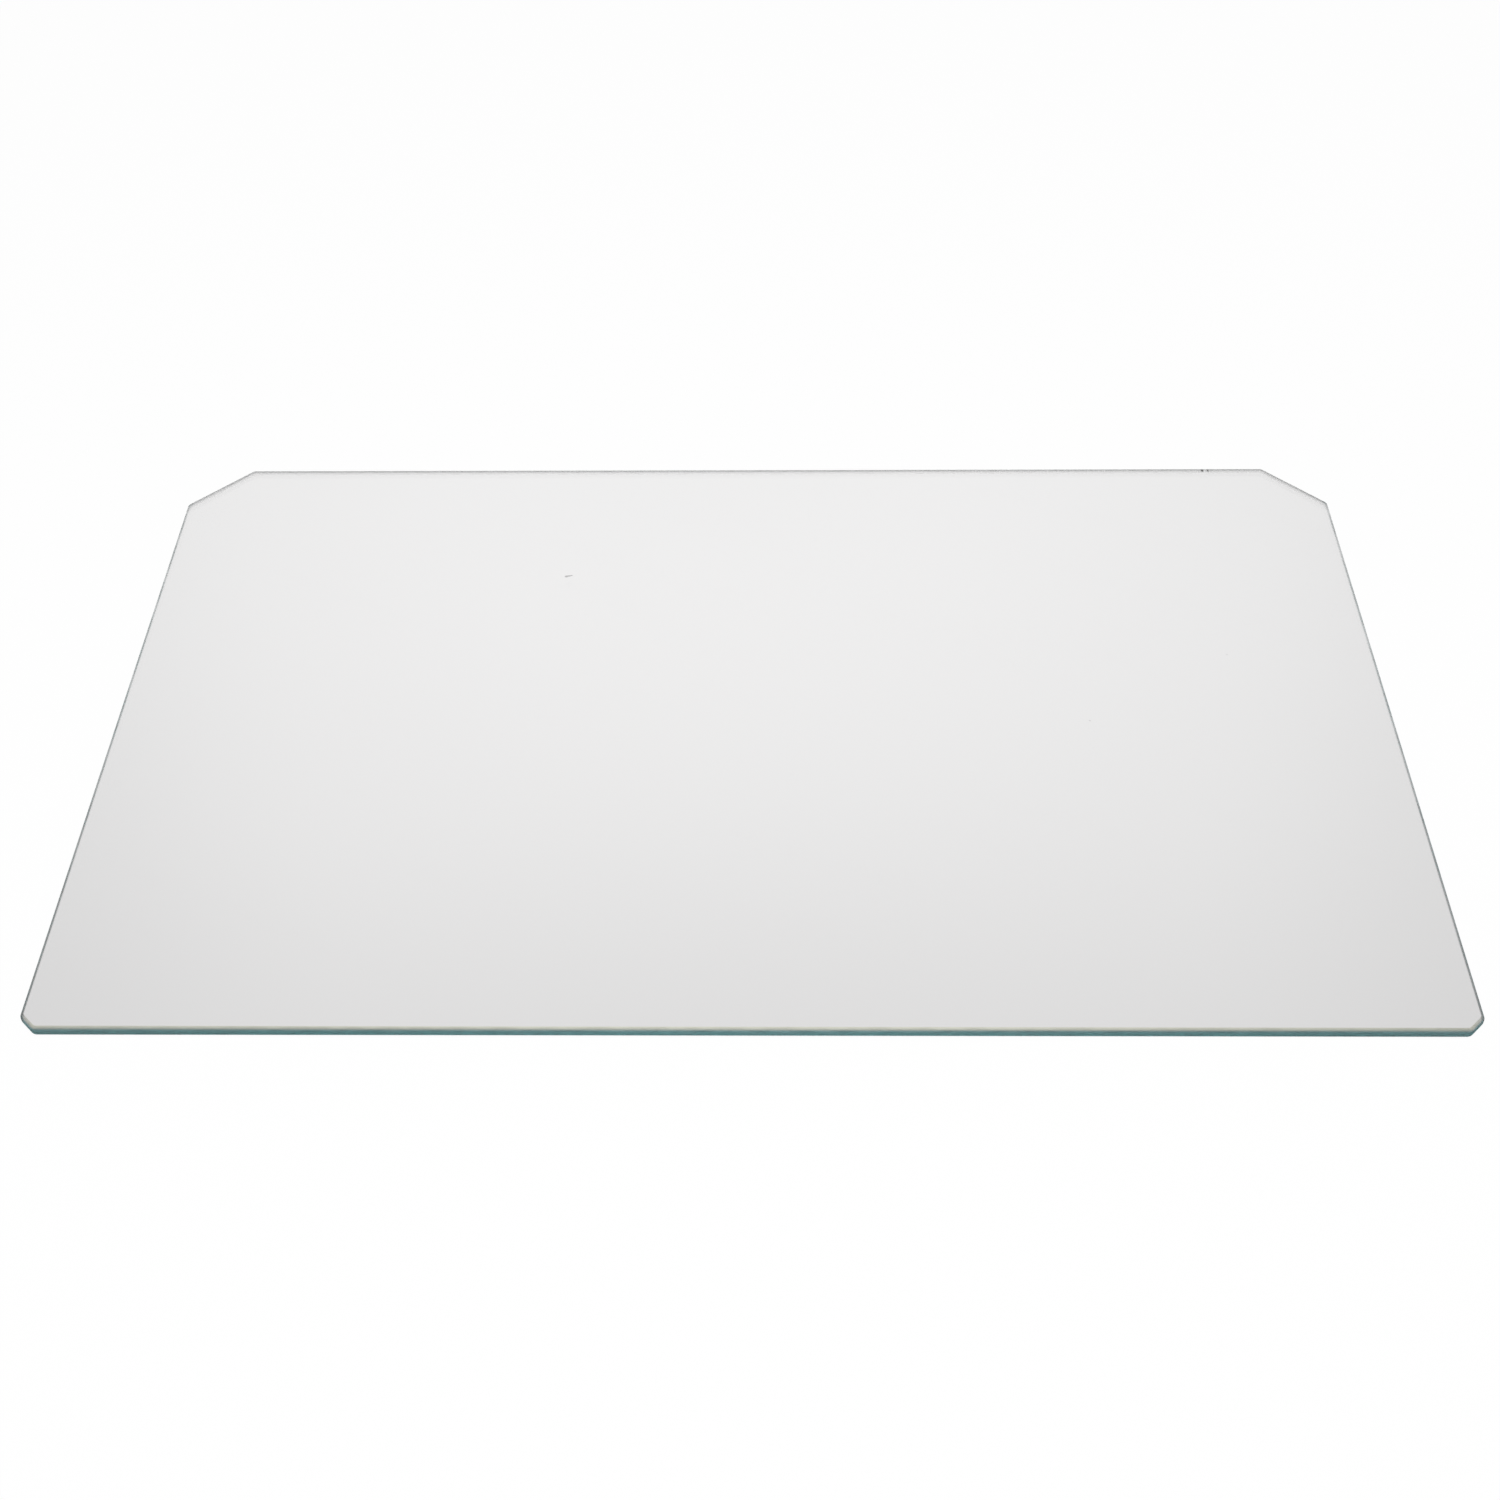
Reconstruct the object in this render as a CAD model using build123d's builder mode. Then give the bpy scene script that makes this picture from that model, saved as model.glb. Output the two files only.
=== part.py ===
from build123d import *
import os

# Fridge shelf: one loose pane of clear toughened glass, ground round its whole edge.
# Frame, in millimetres: the origin is the middle of the underside, +Z is up,
# the front edge faces -Y and the two large corner clips are at the rear, towards +Y.

# Pane, measured over its ground edge
pane_width = 475.0
pane_depth = 300.0
glass_thickness = 4.0

# Corners cut off at 45 degrees, each given by its leg along the side
rear_clip = 23.5
front_clip = 5.5

# Ground edge: both arrises rounded over, with a flat land left between them
edge_land = 1.0

# Turns of the outline, as the radius that is left on the flat faces
face_corner_radius = 1.0

# The two round-overs share the thickness that the land leaves
edge_radius = (glass_thickness - edge_land) / 2
outline_corner_radius = face_corner_radius + edge_radius

os.makedirs("parts", exist_ok=True)


with BuildPart() as glass_shelf:
    # Blank as it is cut from the sheet: a rectangle, larger clips behind, smaller ones in front
    with BuildSketch() as blank:
        Rectangle(pane_width, pane_depth)
        chamfer(blank.vertices().group_by(Axis.Y)[-1], length=rear_clip)
        chamfer(blank.vertices().group_by(Axis.Y)[0], length=front_clip)
        # The edging wheel cannot turn on a point, so every corner of the outline is eased
        fillet(blank.vertices(), radius=outline_corner_radius)
    extrude(amount=glass_thickness)

    # The wheel's groove rounds over the arris of both faces in one pass round the pane
    polished_faces = glass_shelf.faces().filter_by(Axis.Z)
    fillet(polished_faces.edges(), radius=edge_radius)

glass_shelf.part.label = "glass_shelf"
export_step(glass_shelf.part, "parts/glass_shelf.step")

box = glass_shelf.part.bounding_box()
print(f"glass_shelf: {box.size.X:.1f} x {box.size.Y:.1f} x {box.size.Z:.1f} mm, "
      f"{glass_shelf.part.volume / 1000:.1f} cm3")
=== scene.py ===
# %% [markdown]
# # A glass fridge shelf
# The shelf is one loose pane of clear toughened glass, with its corners clipped and its edge ground round.
# A solid model already fixes its size and its place, so the lesson starts by loading that model as a
# frame. Lengths are in metres: the origin is the middle of the underside, the front faces -Y and up is +Z.

# %% Load the frame
import math

import bmesh
import bpy
from mathutils import Matrix, Vector


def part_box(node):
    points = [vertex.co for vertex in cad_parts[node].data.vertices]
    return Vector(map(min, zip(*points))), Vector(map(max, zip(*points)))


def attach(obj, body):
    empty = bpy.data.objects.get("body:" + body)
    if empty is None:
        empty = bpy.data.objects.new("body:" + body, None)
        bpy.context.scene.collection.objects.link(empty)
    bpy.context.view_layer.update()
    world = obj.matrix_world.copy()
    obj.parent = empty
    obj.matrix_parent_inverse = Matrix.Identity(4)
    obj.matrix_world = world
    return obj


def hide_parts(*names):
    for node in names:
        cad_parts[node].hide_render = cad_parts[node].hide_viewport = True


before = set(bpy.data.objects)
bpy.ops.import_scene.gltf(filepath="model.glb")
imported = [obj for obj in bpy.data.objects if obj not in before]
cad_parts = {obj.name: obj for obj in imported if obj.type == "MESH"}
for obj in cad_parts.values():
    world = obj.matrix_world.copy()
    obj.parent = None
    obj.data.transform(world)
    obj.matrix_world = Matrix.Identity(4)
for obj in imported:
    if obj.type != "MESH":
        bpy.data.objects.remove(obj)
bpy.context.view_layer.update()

node_low, node_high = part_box("glass_shelf")
pane_size = node_high - node_low


def in_millimetres(*lengths):
    """Give lengths in millimetres, for printing."""
    return [round(length * 1000, 3) for length in lengths]


print("pane in millimetres:", in_millimetres(*pane_size))

# %% [markdown]
# ## The blank
# A shelf starts as a rectangle that is scored on a large sheet and snapped off. A cube scaled to the
# solid's box does for that, once its scale and place are applied to its mesh. The solid's own mesh could
# be shown instead, but it is loose triangles, and glass shows every one of them in what it reflects. A
# pane modelled here has one clean face on each side and an evenly rounded edge.

# %% Cut the blank
bpy.ops.object.select_all(action="DESELECT")
bpy.ops.mesh.primitive_cube_add(size=1.0, location=(node_low + node_high) / 2)
pane = bpy.context.active_object
pane.name = "shelf_pane"
pane.data.name = "shelf_pane"
pane.scale = pane_size
bpy.ops.object.transform_apply(location=True, rotation=True, scale=True)
print("blank corners:", len(pane.data.vertices))

# %% [markdown]
# ## Clipped corners
# The rear corners are cut off at 45 degrees, to clear the rounded rear corners of the cabinet. The front
# corners lose only their sharp tips. On a box, a bevel of one segment along an upright edge is exactly
# that cut, and its offset is the leg of the clip along each side. A boolean would leave more to clean up.

# %% Choose edges in edit mode
def select_edges(wanted):
    """Select only the edges of the pane that pass a test, and count them."""
    mesh = bmesh.from_edit_mesh(pane.data)
    mesh.select_mode = {"EDGE"}
    for part in (*mesh.faces, *mesh.edges):
        part.select_set(False)
    chosen = [edge for edge in mesh.edges if wanted(edge)]
    for edge in chosen:
        edge.select_set(True)
    bmesh.update_edit_mesh(pane.data)
    return len(chosen)


def is_upright(edge):
    """Tell whether an edge runs from face to face."""
    start, end = (vertex.co for vertex in edge.verts)
    return abs(start.z - end.z) > pane_size.z / 2


def is_rear_corner(edge):
    """Tell whether an edge is an upright one at the rear."""
    return is_upright(edge) and edge.verts[0].co.y > 0


def is_front_corner(edge):
    """Tell whether an edge is an upright one at the front."""
    return is_upright(edge) and edge.verts[0].co.y < 0


print("tests for edges ready")

# %% Clip the corners
rear_clip = 0.0235
front_clip = 0.0055

bpy.ops.object.mode_set(mode="EDIT")
bpy.ops.mesh.select_mode(type="EDGE")
rear_count = select_edges(is_rear_corner)
bpy.ops.mesh.bevel(offset_type="OFFSET", offset=rear_clip, segments=1, affect="EDGES")
front_count = select_edges(is_front_corner)
bpy.ops.mesh.bevel(offset_type="OFFSET", offset=front_clip, segments=1, affect="EDGES")
print("corners clipped:", rear_count, "at the rear and", front_count, "at the front")

# %% [markdown]
# ## Eased corners
# The edge is ground by a wheel that runs once round the pane. A wheel can't turn on a point, so each turn
# of the outline gets a small radius. Where an outline turns by 45 degrees, a radius uses up a length of
# radius times tan 22.5 along each side, and that length is the offset that the bevel wants.

# %% Ease every turn of the outline
edge_land = 0.001
face_corner_radius = 0.001
edge_radius = (pane_size.z - edge_land) / 2
corner_radius = face_corner_radius + edge_radius
corner_turn = math.radians(45)
corner_steps = 8
round_profile = 0.5

turn_count = select_edges(is_upright)
bpy.ops.mesh.bevel(offset_type="OFFSET", offset=corner_radius * math.tan(corner_turn / 2),
                   segments=corner_steps, profile=round_profile, affect="EDGES")
print("turns eased:", turn_count, "to a radius in millimetres of", in_millimetres(corner_radius))

# %% [markdown]
# ## The ground edge
# The wheel has a groove that rounds over the rim of both faces and leaves a narrow flat land between them.
# A bevel of both rims at once gives the two round-overs. Many small steps are cheap here, and the edge is
# where the eye goes on a pane of glass.

# %% Grind the edge
round_over_steps = 12
level_tolerance = 0.000015
lying_tilt = 0.99
standing_tilt = 0.01


def is_rim(edge):
    """Tell whether an edge is level and joins a large face to the upright edge of the pane."""
    heights = [vertex.co.z for vertex in edge.verts]
    tilts = [abs(face.normal.z) for face in edge.link_faces]
    is_level = abs(heights[0] - heights[1]) < level_tolerance
    return is_level and max(tilts) > lying_tilt and min(tilts) < standing_tilt


rim_count = select_edges(is_rim)
bpy.ops.mesh.bevel(offset_type="OFFSET", offset=edge_radius, segments=round_over_steps,
                   profile=round_profile, affect="EDGES")
bpy.ops.object.mode_set(mode="OBJECT")
print("rim edges ground:", rim_count, "and faces now:", len(pane.data.polygons))

# %% [markdown]
# ## A chip in the rear edge
# This pane has been knocked: near its right end, the upper rim of the rear edge has lost a flake about 3
# mm long. Glass breaks there in a shallow shell, so the tool is a squashed sphere that is taken away with
# a boolean. The sphere is coarse on purpose, because its flats look like the facets of a real break. Its
# middle lies a little outside the round-over, in a direction that leans from upright to the rear by the
# slope, so that it bites only as deep as it should.

# %% Shape the flake
chip_middle_x = 0.1899
chip_half_length = 0.0016
chip_half_height = 0.0009
chip_depth = 0.0004
chip_slope = math.radians(20)
flake_subdivisions = 2

round_over_middle = Vector((chip_middle_x, node_high.y - edge_radius, node_high.z - edge_radius))
chip_outward = Vector((0, math.sin(chip_slope), math.cos(chip_slope)))
chip_middle = round_over_middle + chip_outward * (edge_radius + chip_half_height - chip_depth)

bpy.ops.object.select_all(action="DESELECT")
bpy.ops.mesh.primitive_ico_sphere_add(subdivisions=flake_subdivisions, radius=1.0, location=chip_middle)
flake = bpy.context.active_object
flake.scale = (chip_half_length, chip_half_height, chip_half_height)
bpy.ops.object.transform_apply(location=True, rotation=True, scale=True)
print("facets of the flake:", len(flake.data.polygons))

# %% Knock out the chip
bpy.ops.object.select_all(action="DESELECT")
pane.select_set(True)
bpy.context.view_layer.objects.active = pane
bite = pane.modifiers.new("chip", "BOOLEAN")
bite.operation = "DIFFERENCE"
bite.solver = "EXACT"
bite.object = flake
bpy.ops.object.modifier_apply(modifier=bite.name)
bpy.data.objects.remove(flake)
print("faces with the chip:", len(pane.data.polygons))

# %% [markdown]
# ## Smooth round-overs, flat faces
# Smooth shading blends the normals of neighbouring faces, which is right on the round-overs. The rim of
# the chip is sharper than the set angle, so it stays crisp. A Weighted Normal modifier then gives the
# large flat faces the last word where they meet the round-overs, or they would look pillowed in
# reflections.

# %% Smooth the edge
crisp_angle = math.radians(25)
large_face_weight = 100

bpy.ops.object.shade_smooth_by_angle(angle=crisp_angle)
flatten = pane.modifiers.new("flat_faces", "WEIGHTED_NORMAL")
flatten.mode = "FACE_AREA"
flatten.weight = large_face_weight
flatten.keep_sharp = True
bpy.ops.object.modifier_apply(modifier=flatten.name)
print("custom normals:", pane.data.has_custom_normals)

# %% Check that the pane is closed
closed_pane = bmesh.new()
closed_pane.from_mesh(pane.data)
open_edges = sum(1 for edge in closed_pane.edges if not edge.is_manifold)
volume = closed_pane.calc_volume()
closed_pane.free()
print("open edges:", open_edges, "and volume in cubic centimetres:", round(volume * 100 ** 3, 1))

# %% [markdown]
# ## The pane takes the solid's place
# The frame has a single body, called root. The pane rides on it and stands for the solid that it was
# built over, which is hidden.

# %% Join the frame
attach(pane, "root")
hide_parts("glass_shelf")
print("replaces glass_shelf:", pane.name)

# %% [markdown]
# ## Helpers for shader nodes
# The finish is built from small node groups, each one effect with a name, and a few helpers keep the cells
# short. One adds a node and fills its sockets, where a value may be a number or another node's socket. The
# next ones wrap the nodes that come up again and again: a range spread over another, a step of arithmetic
# on numbers or vectors, and a blend of numbers or colours. The last starts a group with its named inputs
# and outputs.

# %% Add a node
def add_node(tree, kind, name, sockets=None, **settings):
    """Add a named node, apply its settings, then set or link its input sockets."""
    node = tree.nodes.new(kind)
    node.name = name
    node.label = name
    for setting, value in settings.items():
        setattr(node, setting, value)
    for socket, value in (sockets or {}).items():
        if isinstance(value, bpy.types.NodeSocket):
            tree.links.new(value, node.inputs[socket])
        else:
            node.inputs[socket].default_value = value
    return node


print("helper for one node ready")

# %% Take a step of arithmetic
def remap(tree, name, value, low=0.0, high=1.0, to_low=0.0, to_high=1.0, **settings):
    """Spread one range of numbers over another and return the socket of the result."""
    sockets = {"Value": value, "From Min": low, "From Max": high, "To Min": to_low, "To Max": to_high}
    return add_node(tree, "ShaderNodeMapRange", name, sockets, **settings).outputs["Result"]


def combine(tree, name, operation, *terms):
    """Combine numbers by one operation and return the socket of the result."""
    return add_node(tree, "ShaderNodeMath", name, dict(enumerate(terms)), operation=operation).outputs[0]


def combine_vectors(tree, name, operation, *terms):
    """Combine vectors by one operation and return the node's outputs, Vector and Value."""
    sockets = dict(enumerate(terms))
    return add_node(tree, "ShaderNodeVectorMath", name, sockets, operation=operation).outputs


print("helpers for arithmetic ready")

# %% Blend numbers and colours
# The Mix node keeps its colour sockets behind those for numbers and vectors, at these places.
first_colour_input = 6
second_colour_input = 7
colour_output = 2


def blend_numbers(tree, name, factor, first, second):
    """Blend two numbers by a factor and return the socket of the blend."""
    sockets = {"Factor": factor, "A": first, "B": second}
    return add_node(tree, "ShaderNodeMix", name, sockets).outputs["Result"]


def blend_colours(tree, name, factor, first, second):
    """Blend two colours by a factor and return the socket of the blend."""
    sockets = {"Factor": factor, first_colour_input: first, second_colour_input: second}
    return add_node(tree, "ShaderNodeMix", name, sockets, data_type="RGBA").outputs[colour_output]


print("helpers for blends ready")

# %% Start a group
number = "NodeSocketFloat"
vector = "NodeSocketVector"


def start_group(name, inputs, outputs):
    """Make a shader node group with named sockets, and return its tree, inputs and outputs."""
    tree = bpy.data.node_groups.new(name, "ShaderNodeTree")
    for socket, kind in inputs.items():
        tree.interface.new_socket(socket, in_out="INPUT", socket_type=kind)
    for socket, kind in outputs.items():
        tree.interface.new_socket(socket, in_out="OUTPUT", socket_type=kind)
    entry = tree.nodes.new("NodeGroupInput")
    result = tree.nodes.new("NodeGroupOutput")
    return tree, entry.outputs, result.inputs


print("helper for groups ready")

# %% [markdown]
# ## Where the wheel has cut
# The faces are fire polished and the edge is ground, so one material needs to know which is which. The
# edge could have a material of its own, but two volumes on one closed pane confuse the renderer. Height
# alone tells them apart: on a flat face the depth below the nearest face is nothing, and over the edge it
# grows to the radius of the round-over. The group puts out that depth as a share, and a mask that is 1 as
# soon as the wheel has touched the glass.

# %% Group for the depth of the cut
wheel_touch = 0.000003
wheel_bite = 0.00003

tree, entry, result = start_group("depth_of_cut", {"Place": vector, "Thickness": number, "Radius": number},
                                  {"Depth": number, "Ground": number})
height = add_node(tree, "ShaderNodeSeparateXYZ", "height", {"Vector": entry["Place"]}).outputs["Z"]
from_top = combine(tree, "from_top", "SUBTRACT", entry["Thickness"], height)
nearest = combine(tree, "nearest_face", "MINIMUM", height, from_top)
share_of_radius = remap(tree, "share_of_radius", nearest, high=entry["Radius"])
touched = remap(tree, "touched", nearest, wheel_touch, wheel_bite)
tree.links.new(share_of_radius, result["Depth"])
tree.links.new(touched, result["Ground"])
depth_group = tree
print("group:", tree.name, "with", len(tree.nodes), "nodes")

# %% [markdown]
# ## Marks of the wheel
# The wheel's grit runs along the edge and leaves fine lines there, about a sixth of a millimetre apart,
# that sway a little as the pane is fed past. Its pressure varies too, so some stretches come out more
# satin than others. A sine of the height that is pushed to and fro along the pane gives the lines, and a
# flat noise gives the stretches. The walk along the pane is slanted over the plan, so that it moves on
# along every side, whichever way the side runs.

# %% Group for the wheel's marks
line_spacing = 0.00016
line_sway = 2.0
sway_per_metre = (60.0, 30.0, 0.0)
stretch_per_metre = (150.0, 75.0, 0.0)
stretch_across_per_metre = (0.0, 0.0, 700.0)

tree, entry, result = start_group("wheel_marks", {"Place": vector}, {"Lines": number, "Satin": number})


def walk(name, per_metre):
    """Measure a walk through the pane along one direction."""
    return combine_vectors(tree, name, "DOT_PRODUCT", entry["Place"], per_metre)["Value"]


to_and_fro = combine(tree, "to_and_fro", "SINE", walk("sway_walk", sway_per_metre))
line_walk = walk("line_walk", (0.0, 0.0, math.tau / line_spacing))
swayed = combine(tree, "swayed", "MULTIPLY_ADD", to_and_fro, line_sway, line_walk)
lines = combine(tree, "lines", "SINE", swayed)
unrolled = add_node(tree, "ShaderNodeCombineXYZ", "unrolled",
                    {"X": walk("along", stretch_per_metre), "Y": walk("across", stretch_across_per_metre)})
satin = add_node(tree, "ShaderNodeTexNoise", "satin",
                 {"Vector": unrolled.outputs["Vector"], "Scale": 1.0, "Detail": 0.0}, noise_dimensions="2D")
tree.links.new(lines, result["Lines"])
tree.links.new(satin.outputs["Fac"], result["Satin"])
wheel_group = tree
print("group:", tree.name, "with", len(tree.nodes), "nodes")

# %% [markdown]
# ## Film left by wiping
# Even a clean shelf keeps a trace of the cloth: long faint strokes that come and go. A flat noise, turned
# and stretched, gives them, and only its upper half counts, so that clean glass is left between the
# strokes.

# %% Group for the wiped film
stroke_per_metre = (8.0, 90.0, 0.0)
stroke_turn = math.radians(24)
stroke_threshold = 0.5
stroke_peak = 0.8

tree, entry, result = start_group("wiped_film", {"Place": vector}, {"Film": number})
turned = add_node(tree, "ShaderNodeVectorRotate", "turned", {"Vector": entry["Place"], "Angle": stroke_turn},
                  rotation_type="Z_AXIS").outputs["Vector"]
stretched = combine_vectors(tree, "stretched", "MULTIPLY", turned, stroke_per_metre)["Vector"]
strokes = add_node(tree, "ShaderNodeTexNoise", "strokes",
                   {"Vector": stretched, "Scale": 1.0, "Detail": 0.0}, noise_dimensions="2D").outputs["Fac"]
strong_strokes = remap(tree, "film", strokes, stroke_threshold, stroke_peak)
tree.links.new(strong_strokes, result["Film"])
film_group = tree
print("group:", tree.name, "with", len(tree.nodes), "nodes")

# %% [markdown]
# ## Small marks
# A thread of lint, a few specks of dirt, the chip, the painted shade at its ends and the painted light
# strip below it each need a small soft spot at a place of their own.
# The group measures how far a point lies from a mark's centre, counted in the mark's own half sizes: a
# value below 1 is inside the mark.

# %% Group for a small mark
tree, entry, result = start_group("small_mark", {"Place": vector, "Centre": vector, "Half Size": vector},
                                  {"Distance": number})
offset = combine_vectors(tree, "offset", "SUBTRACT", entry["Place"], entry["Centre"])["Vector"]
in_half_sizes = combine_vectors(tree, "in_half_sizes", "DIVIDE", offset, entry["Half Size"])["Vector"]
distance = combine_vectors(tree, "distance", "LENGTH", in_half_sizes)["Value"]
tree.links.new(distance, result["Distance"])
mark_group = tree
print("group:", tree.name, "with", len(tree.nodes), "nodes")

# %% [markdown]
# ## Clear float glass
# Shelf glass looks clear through its faces and teal through its edge. The reason is iron in the melt: it
# takes out a little red for each metre of path, and a ray that enters the front edge is thrown back and
# forth between the faces for a third of a metre before it leaves. So the tint is an absorption inside the
# pane, not a paint on its edge. The values that are the same all over sit on the shader's own sockets.

# %% Start the glass
refractive_index = 1.52
iron_colour = (0.0, 0.53, 0.53, 1.0)
iron_density = 4.5

glass = bpy.data.materials.new("shelf_glass")
glass.use_nodes = True
glass_tree = glass.node_tree
shader = glass_tree.nodes["Principled BSDF"]
output = glass_tree.nodes["Material Output"]
shader.inputs["Transmission Weight"].default_value = 1.0
shader.inputs["IOR"].default_value = refractive_index
iron = add_node(glass_tree, "ShaderNodeVolumeAbsorption", "iron",
                {"Color": iron_colour, "Density": iron_density})
glass_tree.links.new(iron.outputs["Volume"], output.inputs["Volume"])
pane.data.materials.append(glass)
print("glass takes out per metre:", [round(iron_density * (1 - band), 2) for band in iron_colour[:3]])

# %% Place the groups in the glass
place = add_node(glass_tree, "ShaderNodeTexCoord", "place").outputs["Object"]


def add_group(name, group, sockets):
    """Place a group in the glass under a name of its own, and return its outputs."""
    return add_node(glass_tree, "ShaderNodeGroup", name, sockets, node_tree=group).outputs


cut = add_group("depth_of_cut", depth_group,
                {"Place": place, "Thickness": pane_size.z, "Radius": edge_radius})
wheel = add_group("wheel_marks", wheel_group, {"Place": place})
film = add_group("wiped_film", film_group, {"Place": place})
print("groups in the glass put out:", [*cut.keys(), *wheel.keys(), *film.keys()])

# %% [markdown]
# ## Coarse rear, rubbed sides
# The front edge is seen and touched, so it has had a second pass on a finer wheel. The rear edge and its
# clips are out of sight in the cabinet and stay as the coarse wheel left them, paler and duller. The sides
# slide between the walls of the cabinet, which rubs them smoother. How far back a point lies tells the
# rear, with a long blend over the sides, and how far out it lies tells the sides.

# %% Tell the rear and the sides
coarse_from = node_high.y - rear_clip
coarse_blend = 0.2
rubbed_from = node_high.x - edge_radius
rubbed_blend = 0.0005

spread = add_node(glass_tree, "ShaderNodeSeparateXYZ", "spread", {"Vector": place}).outputs
coarse = remap(glass_tree, "coarse", spread["Y"], coarse_from - coarse_blend, coarse_from)
out_from_middle = combine(glass_tree, "out_from_middle", "ABSOLUTE", spread["X"])
rubbed = remap(glass_tree, "rubbed", out_from_middle, rubbed_from - rubbed_blend, rubbed_from)
print("coarse behind and rubbed outside, in millimetres:", in_millimetres(coarse_from, rubbed_from))

# %% [markdown]
# ## Smooth lower rim
# The pane is pulled out and pushed in on its lower rim, which has made that rim as smooth as a face along
# the front and the sides. It can be seen through the top face: a ground rim would show there as a wide
# soft shade, and a smooth one leaves a crisp line. So the ground finish fades out below the land. The rear
# is left out of this, and keeps both rims as the coarse wheel left them.

# %% Leave the lower rim smooth
smooth_below = 0.0005
ground_above = 0.0015
rear_blend = 0.005

upper_edge = remap(glass_tree, "upper_edge", spread["Z"], smooth_below, ground_above)
rear = remap(glass_tree, "rear", spread["Y"], coarse_from - rear_blend, coarse_from)
unpolished = combine(glass_tree, "unpolished", "MAXIMUM", upper_edge, rear)
worked = combine(glass_tree, "worked", "MULTIPLY", cut["Ground"], unpolished)
print("lower rim smooth up to, in millimetres:", in_millimetres(smooth_below))

# %% [markdown]
# ## Lint, dirt and painted shade in the chip
# One short bent thread lies on the top face, left of the middle and towards the rear, with two specks on
# the right, and both ends of the chip are painted dark, a painted shade of its broken facets. They are far
# too small to model, so each is a small mark in the material: three in a row for the thread, which is
# thicker at its left end, and one for each of the others. A mark reaches only a little way in height, so
# that it doesn't show on the underside.
# Each has a cover of its own, and where marks overlap the stronger one counts.

# %% List the marks
top = node_high.z
reach = 0.0005
loose_dirt_cover = 0.66
chip_shade_inset = 0.0004
chip_end_y = node_high.y - edge_radius - chip_shade_inset

# Each mark has its centre, its half size and its cover.
marks = {
    "lint_knot": ((-0.0754, 0.0786, top), (0.0007, 0.0006, reach), loose_dirt_cover),
    "lint_bend": ((-0.0744, 0.0789, top), (0.0008, 0.0004, reach), loose_dirt_cover),
    "lint_tail": ((-0.0734, 0.0792, top), (0.0005, 0.0003, reach), loose_dirt_cover),
    "speck_right": ((0.1250, -0.0055, top), (0.00022, 0.0003, reach), loose_dirt_cover),
    "speck_far": ((0.1813, 0.0313, top), (0.0002, 0.0002, reach), loose_dirt_cover),
    # The two marks at the chip's ends are a painted shade of its broken facets.
    "chip_left_shade": ((0.1888, chip_end_y, top), (0.0006, 0.0010, reach), 0.97),
    "chip_right_shade": ((0.1911, chip_end_y, top), (0.0004, 0.0010, reach), 0.92),
}
print("marks on the top:", ", ".join(marks))

# %% Mark the top
soft_rim = 0.3
no_cover = 0.0


def cover_mark(name, distance, cover):
    """Turn a distance in half sizes into a soft spot of the given cover."""
    return remap(glass_tree, name + "_cover", distance, 1 - soft_rim, 1 + soft_rim, cover, no_cover)


dirt_and_shade = no_cover
for name, (centre, half_size, cover) in marks.items():
    mark = add_group(name, mark_group, {"Place": place, "Centre": centre, "Half Size": half_size})
    spot = cover_mark(name, mark["Distance"], cover)
    dirt_and_shade = combine(glass_tree, name + "_or_other", "MAXIMUM", spot, dirt_and_shade)
print("nodes in the glass with all marks:", len(glass_tree.nodes))

# %% [markdown]
# ## Darker outer edge
# The ground edge is darkened, more and more outwards along the front towards the corners. The darkening is
# strongest round those corners on the sides, and fades out again towards the rear.

# %% Darken the outer edge
darkening_on_front = 0.34
darkening_on_sides = 0.62
darkening_reach = 0.2
darkening_from = 0.06

outwards = remap(glass_tree, "outwards", out_from_middle, darkening_from, rubbed_from)
outer_edge = combine(glass_tree, "outer_edge", "MULTIPLY", outwards, worked)
darkening_at_front = remap(glass_tree, "darkening_at_front", rubbed, to_low=darkening_on_front, to_high=darkening_on_sides)
darkening_cover = remap(glass_tree, "darkening_cover", spread["Y"], node_low.y, node_low.y + darkening_reach,
                    darkening_at_front, no_cover)
edge_darkening = combine(glass_tree, "edge_darkening", "MULTIPLY", outer_edge, darkening_cover)
dirt_and_shade = combine(glass_tree, "dirt_and_shade", "MAXIMUM", edge_darkening, dirt_and_shade)
print("grime on the front and on the sides:", darkening_on_front, darkening_on_sides)

# %% [markdown]
# ## Fresh glass in the chip
# The break inside the chip is newer than the grinding and shines like the faces. One more small mark, a
# little larger than the flake, takes the ground finish away again. Below it a strip through the whole
# thickness of the edge is painted clear white, a painted light where the bright floor shows through the
# chip.

# %% Keep the chip shiny
chip_margin = 1.05
chip_reach = Vector((chip_half_length, chip_half_height, chip_half_height)) * chip_margin

chip = add_group("chip", mark_group, {"Place": place, "Centre": chip_middle, "Half Size": chip_reach})
whole = remap(glass_tree, "not_chipped", chip["Distance"], 1 - soft_rim, 1 + soft_rim)
ground = combine(glass_tree, "ground", "MULTIPLY", worked, whole)
print("shiny length in millimetres:", in_millimetres(2 * chip_reach.x))

# %% Paint a lit strip below the chip
lit_strip_shift = 0.0001
lit_strip_middle = (chip_middle_x + lit_strip_shift, node_high.y, node_high.z / 2)
lit_strip_half_size = (0.0005, 0.0020, 0.0040)
lit_strip_cover = 1.0

lit_strip = add_group("lit_strip", mark_group,
                   {"Place": place, "Centre": lit_strip_middle, "Half Size": lit_strip_half_size})
lit_strip_share = cover_mark("lit_strip", lit_strip["Distance"], lit_strip_cover)
print("bruise width in millimetres:", in_millimetres(2 * lit_strip_half_size[0]))

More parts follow.
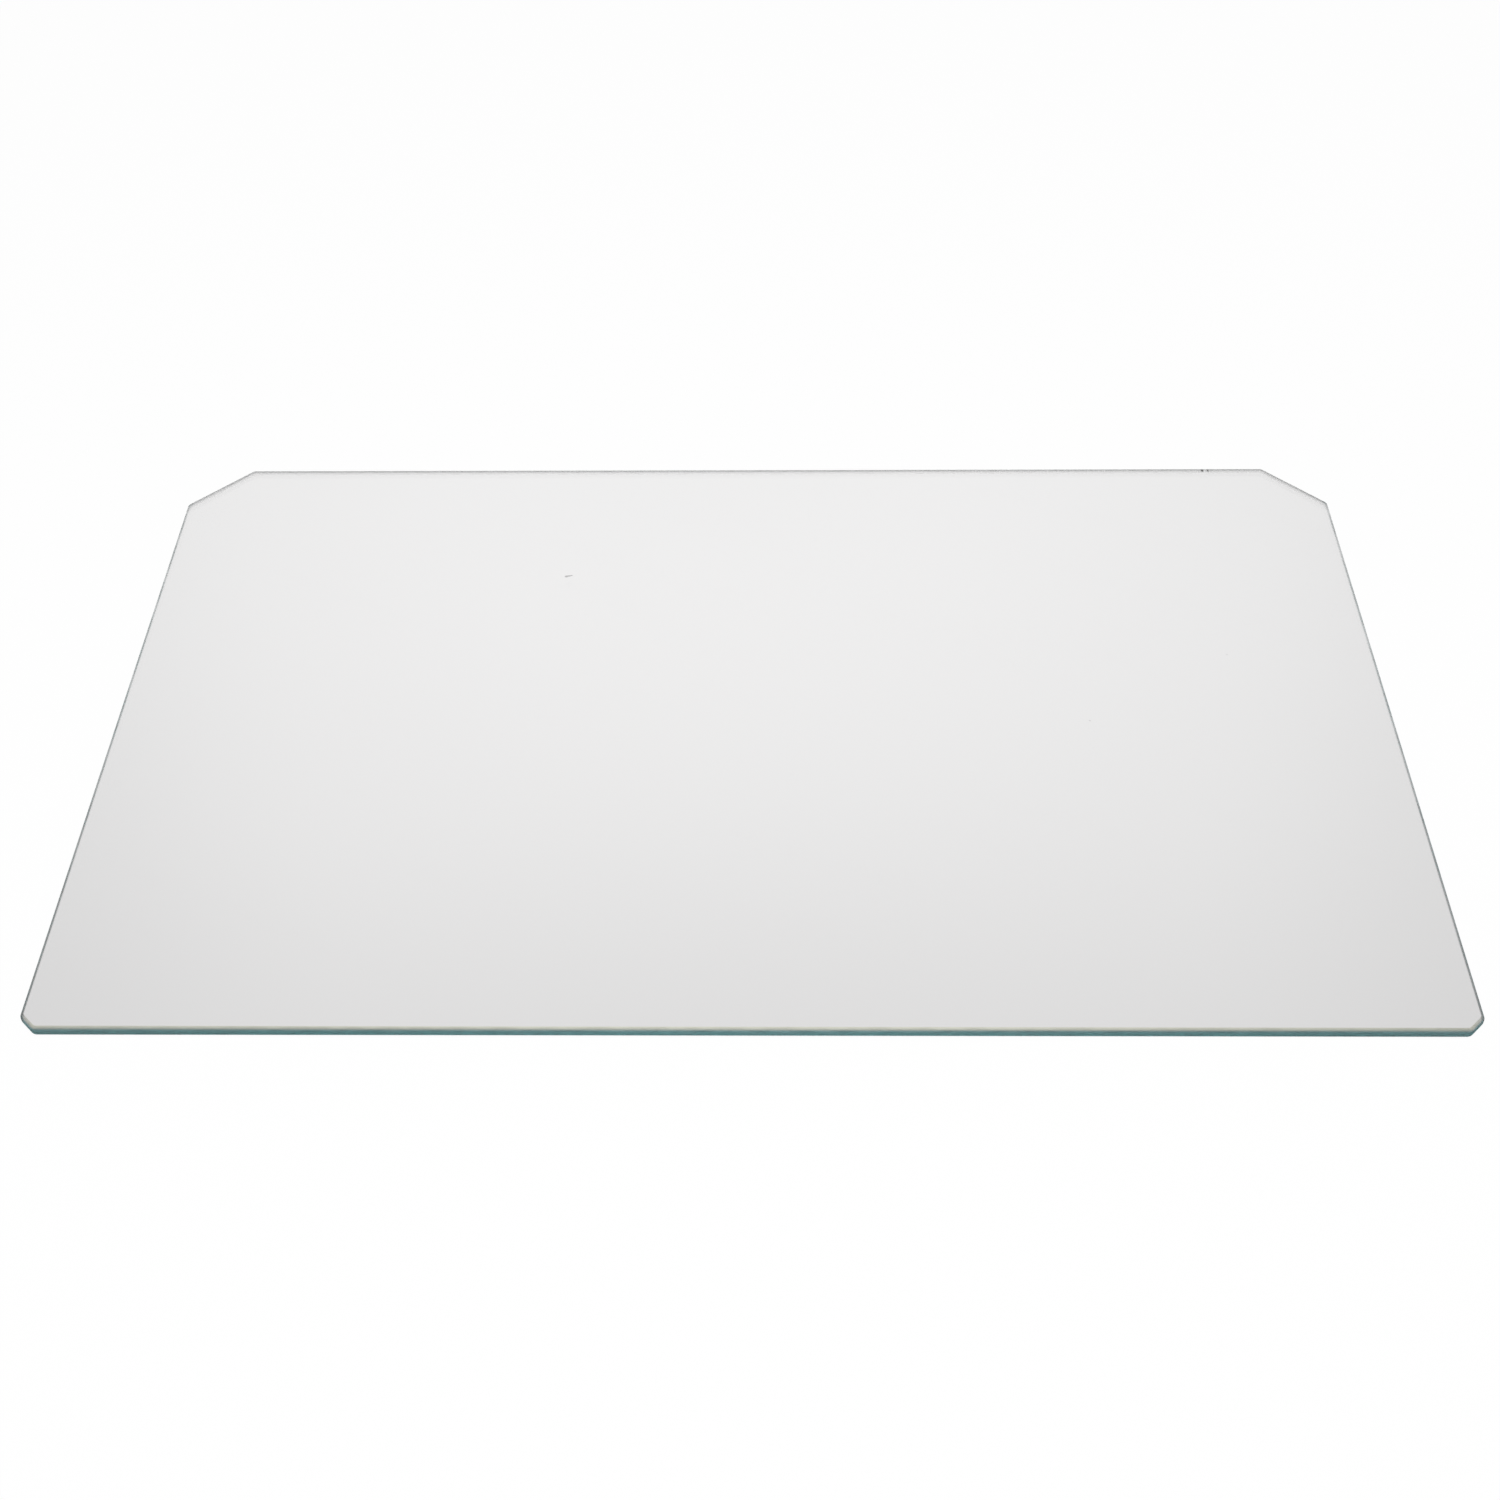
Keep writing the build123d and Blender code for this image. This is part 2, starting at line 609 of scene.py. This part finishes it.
# %% [markdown]
# ## Round-overs and land
# The round-overs get a painted shade that darkens with the depth of the cut, most at mid thickness, where
# the edge faces away from the light above, and sooner on the rubbed sides. The land between them, with the
# steep part of the round-overs next to it, looks straight into the depth of the pane. Two masks tell how
# far a point belongs to the one and to the other.

# %% Tell the round-overs and the land
round_over_onset = 0.8
rubbed_onset = 0.25
land_start = 0.25
land_full = 0.6

onset = remap(glass_tree, "onset", rubbed, to_low=round_over_onset, to_high=rubbed_onset)
shade_deepening = combine(glass_tree, "shade_deepening", "POWER", cut["Depth"], onset)
painted_shade_depth = combine(glass_tree, "painted_shade_depth", "MULTIPLY", shade_deepening, ground)
land_share = remap(glass_tree, "land_share", cut["Depth"], land_start, land_full)
ground_land = combine(glass_tree, "ground_land", "MULTIPLY", land_share, ground)
print("land starts below the faces at, in millimetres:", in_millimetres(land_start * edge_radius))

# %% [markdown]
# ## Colour of faces and edge
# Light that passes through the faces should stay neutral, so their colour gives back the little red that
# the iron takes. The upper rim of the front is tinged cream, a painted light where it faces the light
# above. Below that the fine edge goes through a painted shade of plain grey on the round-overs to the teal
# of the iron on the land. The coarse edge scatters the light before it can take on that tint and stays a
# paler grey. A strip below the chip is painted clear white, a painted light. Dirt, the darker outer edge
# and the painted shade at the ends of the chip darken what is left.

# %% Paint light on the upper rim of the front
face_colour = (1.0, 0.983, 0.983, 1.0)
# The cream is a painted light on the upper rim of the front, where it faces the light above.
painted_light_cream = (1.0, 0.99, 0.74, 1.0)
front_from = node_low.y + edge_radius
front_blend = front_clip

front = remap(glass_tree, "front", spread["Y"], front_from + front_blend, front_from)
front_painted_light = blend_colours(glass_tree, "front_painted_light", front, face_colour, painted_light_cream)
touched_colour = blend_colours(glass_tree, "touched_colour", ground, face_colour, front_painted_light)
print("cream in front of, in millimetres:", in_millimetres(front_from))

# %% Colour the glass
# The round-over colours are a painted shade, deepest at mid thickness of the edge.
fine_edge_shade = (0.27, 0.30, 0.30, 1.0)
fine_land_colour = (0.38, 0.79, 0.84, 1.0)
coarse_edge_shade = (0.52, 0.52, 0.52, 1.0)
coarse_land_colour = (0.72, 0.72, 0.72, 1.0)
# The white below the chip is a painted light strip, where the floor shows through the chip.
lit_strip_colour = (1.0, 1.0, 1.0, 1.0)
dirt_and_shade_colour = (0.06, 0.055, 0.05, 1.0)

round_over_shade = blend_colours(glass_tree, "round_over_shade", coarse, fine_edge_shade,
                                  coarse_edge_shade)
land_colour = blend_colours(glass_tree, "land_colour", coarse, fine_land_colour, coarse_land_colour)
rounded_colour = blend_colours(glass_tree, "rounded_colour", painted_shade_depth, touched_colour, round_over_shade)
sound_colour = blend_colours(glass_tree, "sound_colour", ground_land, rounded_colour, land_colour)
clean_colour = blend_colours(glass_tree, "clean_colour", lit_strip_share, sound_colour, lit_strip_colour)
colour = blend_colours(glass_tree, "colour", dirt_and_shade, clean_colour, dirt_and_shade_colour)
glass_tree.links.new(colour, shader.inputs["Base Color"])
print("fine land lets through:", fine_land_colour[:3])

# %% [markdown]
# ## Gloss of faces and edge
# The faces are nearly perfect mirrors, a touch duller where the wiped film lies, and the smooth lower rim
# counts as a face. The ground edge is satin and its gloss varies with the pressure of the wheel. The
# coarse rear is duller still, and the rubbed sides shine more.

# %% Set the gloss of the faces and of the edge
clean_face_roughness = 0.0
filmed_face_roughness = 0.05
light_pressure = 0.3
heavy_pressure = 0.7
light_grinding_roughness = 0.55
heavy_grinding_roughness = 0.70

face_gloss = remap(glass_tree, "face_gloss", film["Film"], to_low=clean_face_roughness,
                   to_high=filmed_face_roughness)
edge_gloss = remap(glass_tree, "edge_gloss", wheel["Satin"], light_pressure, heavy_pressure,
                   light_grinding_roughness, heavy_grinding_roughness)
print("edge roughness:", light_grinding_roughness, "to", heavy_grinding_roughness)

# %% Add the rear, the sides and the dirt with the painted shade
coarse_change = 0.10
rubbed_change = -0.30
dirt_and_shade_roughness = 0.6

rubbed_gloss = combine(glass_tree, "rubbed_gloss", "MULTIPLY_ADD", rubbed, rubbed_change, edge_gloss)
ground_gloss = combine(glass_tree, "ground_gloss", "MULTIPLY_ADD", coarse, coarse_change, rubbed_gloss)
clean_gloss = blend_numbers(glass_tree, "clean_gloss", ground, face_gloss, ground_gloss)
gloss = blend_numbers(glass_tree, "gloss", dirt_and_shade, clean_gloss, dirt_and_shade_roughness)
glass_tree.links.new(gloss, shader.inputs["Roughness"])
print("change of roughness at the rear and on the sides:", coarse_change, rubbed_change)

# %% [markdown]
# ## Relief of faces and edge
# Toughened glass has been hot on rollers, and they leave broad waves less than a tenth of a millimetre
# high that only reflections show. They run along the rollers, so a sine of the depth is enough. The ground
# edge has the lines of the wheel, a few thousandths of a millimetre deep. Both are bump, with heights in
# real metres, because neither changes the outline.

# %% Raise the relief
roller_spacing = 0.11
roller_wave_height = 0.00002
line_height = 0.000004

waves_passed = combine_vectors(glass_tree, "waves_passed", "DOT_PRODUCT", place,
                               (0.0, math.tau / roller_spacing, 0.0))["Value"]
roller_waves = combine(glass_tree, "roller_waves", "SINE", waves_passed)
wave_bump = add_node(glass_tree, "ShaderNodeBump", "wave_bump",
                     {"Height": roller_waves, "Strength": 1.0, "Distance": roller_wave_height})
edge_lines = combine(glass_tree, "edge_lines", "MULTIPLY", wheel["Lines"], ground)
line_bump = add_node(glass_tree, "ShaderNodeBump", "line_bump",
                     {"Height": edge_lines, "Strength": 1.0, "Distance": line_height,
                      "Normal": wave_bump.outputs["Normal"]})
glass_tree.links.new(line_bump.outputs["Normal"], shader.inputs["Normal"])
print("nodes in the glass:", len(glass_tree.nodes))

# %% [markdown]
# ## White floor
# The pane lies on a sheet of white paper, which should come out white without extra light on the glass. So
# the paper glows white to the camera by most of its share, and is plain paper for the rest, which keeps a
# trace of shadow. Under a pane the paper lies in the pane's own shade, so rays that have met the glass see
# it glow in a pale grey: a pool of light from the rear, that falls off towards the front corners. For all
# other rays it is plain paper that passes the light on. The paper lies a hair below the pane, so that the
# two don't fight for the same height.

# %% Lay the floor
floor_size = 12.0
floor_gap = 0.0003

bpy.ops.object.select_all(action="DESELECT")
bpy.ops.mesh.primitive_plane_add(size=floor_size, location=(0, 0, node_low.z - floor_gap))
floor = bpy.context.active_object
floor.name = "floor"
paper = bpy.data.materials.new("white_paper")
paper.use_nodes = True
paper_tree = paper.node_tree
paper_tree.nodes.remove(paper_tree.nodes["Principled BSDF"])
floor.data.materials.append(paper)
print("floor in metres:", floor_size)

# %% Draw the pool of light
pool_middle = (-0.02, 0.15, 0.0)
pool_squash = (0.8, 1.0, 0.0)
pool_core = 0.045
pool_reach = 0.50
pool_level = 0.902
outside_pool_level = 0.69

paper_place = add_node(paper_tree, "ShaderNodeTexCoord", "place").outputs["Object"]
off_middle = combine_vectors(paper_tree, "off_middle", "SUBTRACT", paper_place, pool_middle)["Vector"]
squashed = combine_vectors(paper_tree, "squashed", "MULTIPLY", off_middle, pool_squash)["Vector"]
from_middle = combine_vectors(paper_tree, "from_middle", "LENGTH", squashed)["Value"]
pool = remap(paper_tree, "pool", from_middle, pool_core, pool_reach, pool_level, outside_pool_level,
             interpolation_type="SMOOTHSTEP")
print("paper below the pane glows from", pool_level, "down to", outside_pool_level)

# %% Mix the paper
paper_white = (0.95, 0.95, 0.95, 1.0)
share_to_camera = 0.97
white_strength = 1.0

light_path = add_node(paper_tree, "ShaderNodeLightPath", "light_path").outputs
met_glass = combine(paper_tree, "met_glass", "MAXIMUM", light_path["Is Glossy Ray"],
                    light_path["Is Transmission Ray"])
glow_share = combine(paper_tree, "glow_share", "MULTIPLY_ADD", light_path["Is Camera Ray"], share_to_camera,
                     met_glass)
glow_strength = blend_numbers(paper_tree, "glow_strength", met_glass, white_strength, pool)
plain_paper = add_node(paper_tree, "ShaderNodeBsdfDiffuse", "plain_paper", {"Color": paper_white})
glow = add_node(paper_tree, "ShaderNodeEmission", "glow", {"Strength": glow_strength})
sheet = add_node(paper_tree, "ShaderNodeMixShader", "sheet",
                 {0: glow_share, 1: plain_paper.outputs[0], 2: glow.outputs[0]})
paper_tree.links.new(sheet.outputs[0], paper_tree.nodes["Material Output"].inputs["Surface"])
print("share of the glow to the camera:", share_to_camera)

# %% [markdown]
# ## Studio surroundings
# A pane shows its surroundings at a slant. Here the studio has a wide bright panel behind the pane, a pale
# band all round above the floor and a dim ceiling. The panel's soft top and sides are what the camera sees
# mirrored in the pane: bright over its rear and middle, then fading to the front and to the front corners.
# It is drawn by two angles of the view direction, its bearing from the rear and its rise above the floor.
# The camera itself sees plain white.

# %% Measure the view direction
world = bpy.data.worlds.new("studio")
bpy.context.scene.world = world
world.use_nodes = True
world_tree = world.node_tree
direction = add_node(world_tree, "ShaderNodeTexCoord", "direction").outputs["Generated"]
direction_parts = add_node(world_tree, "ShaderNodeSeparateXYZ", "parts", {"Vector": direction}).outputs
bearing = combine(world_tree, "bearing", "ARCTAN2", direction_parts["X"], direction_parts["Y"])
rise = combine(world_tree, "rise", "ARCSINE", direction_parts["Z"])
print("nodes for the view direction:", len(world_tree.nodes))

# %% Draw the panel, the band and the ceiling
panel_bearing = math.radians(-0.7)
panel_half_width = math.radians(16)
panel_side_fade = math.radians(15)
panel_top = math.radians(43.7)
panel_top_fade = math.radians(14.5)
panel_strength = 0.75
band_top = math.radians(8)
band_fade = math.radians(16)
band_strength = 0.6
ceiling_strength = 0.18


def fade_upwards(name, start, fade, strength):
    """Go softly from a strength to the ceiling's, over a stretch of the rise."""
    return remap(world_tree, name, rise, start, start + fade, strength, ceiling_strength,
                 interpolation_type="SMOOTHSTEP")


off_panel = combine(world_tree, "off_panel", "SUBTRACT", bearing, panel_bearing)
aside = combine(world_tree, "aside", "ABSOLUTE", off_panel)
panel_share = remap(world_tree, "side_share", aside, panel_half_width + panel_side_fade, panel_half_width,
                    interpolation_type="SMOOTHSTEP")
panel = fade_upwards("panel_column", panel_top, panel_top_fade, panel_strength)
band = fade_upwards("band", band_top, band_fade, band_strength)
surroundings = blend_numbers(world_tree, "surroundings", panel_share, band, panel)
print("panel strength:", panel_strength, "ceiling strength:", ceiling_strength)

# %% Show white to the camera
plain_white = (1.0, 1.0, 1.0, 1.0)

seen = add_node(world_tree, "ShaderNodeLightPath", "light_path").outputs["Is Camera Ray"]
strength = blend_numbers(world_tree, "white_to_camera", seen, surroundings, white_strength)
background = world_tree.nodes["Background"]
background.inputs["Color"].default_value = plain_white
world_tree.links.new(strength, background.inputs["Strength"])
print("strength to the camera:", white_strength)

# %% [markdown]
# ## Softbox
# One large softbox hangs in front of the pane, faces straight down and lights the paper. The pane would
# mirror its hard outline in a view from above, so the softbox is hidden from rays that the glass mirrors or
# lets through. The surroundings alone are what the glass shows.

# %% Hang the softbox
softbox_width = 0.8
softbox_depth = 0.5
softbox_place = (0.0, -0.30, 0.95)
softbox_watts = 7.8

softbox_light = bpy.data.lights.new("softbox", "AREA")
softbox_light.shape = "RECTANGLE"
softbox_light.size = softbox_width
softbox_light.size_y = softbox_depth
softbox_light.energy = softbox_watts
softbox = bpy.data.objects.new("softbox", softbox_light)
bpy.context.scene.collection.objects.link(softbox)
softbox.location = softbox_place
softbox.visible_glossy = False
softbox.visible_transmission = False
print("softbox in metres above the floor:", softbox_place[2])

# %% [markdown]
# ## Camera
# The camera looks down on the pane from in front, almost on its middle line. Its place and its three
# angles were found by lining up the corners of the pane with the picture: a turn about the upright, a tilt
# down from level and a small roll about the line of sight.

# %% Set up the camera
camera_place = Vector((0.0100, -0.5668, 0.5367))
camera_turn = math.radians(1.136)
camera_tilt = math.radians(44.30)
camera_roll = math.radians(-0.811)
camera_lens = 50.0
camera_sensor = 36.0

camera_data = bpy.data.cameras.new("camera")
camera_data.sensor_width = camera_sensor
camera_data.lens = camera_lens
camera = bpy.data.objects.new("camera", camera_data)
bpy.context.scene.collection.objects.link(camera)
level_view = Matrix.Rotation(math.pi / 2, 4, "X")
camera.matrix_world = (Matrix.Translation(camera_place) @ Matrix.Rotation(camera_turn, 4, "Z")
                       @ Matrix.Rotation(-camera_tilt, 4, "X") @ level_view
                       @ Matrix.Rotation(camera_roll, 4, "Z"))
bpy.context.scene.camera = camera
print("camera distance in metres:", round(camera_place.length, 3))

# %% [markdown]
# ## Paths long enough for an edge
# A ray in the edge is thrown from face to face dozens of times before it comes out at the rear. With the
# usual few bounces it would be cut short and the edge would turn black, so the limits are raised.

# %% Set the bounces and the view
edge_bounces = 64

scene = bpy.context.scene
scene.cycles.max_bounces = edge_bounces
scene.cycles.glossy_bounces = edge_bounces
scene.cycles.transmission_bounces = edge_bounces
scene.view_settings.view_transform = "Standard"
print("bounces:", edge_bounces)
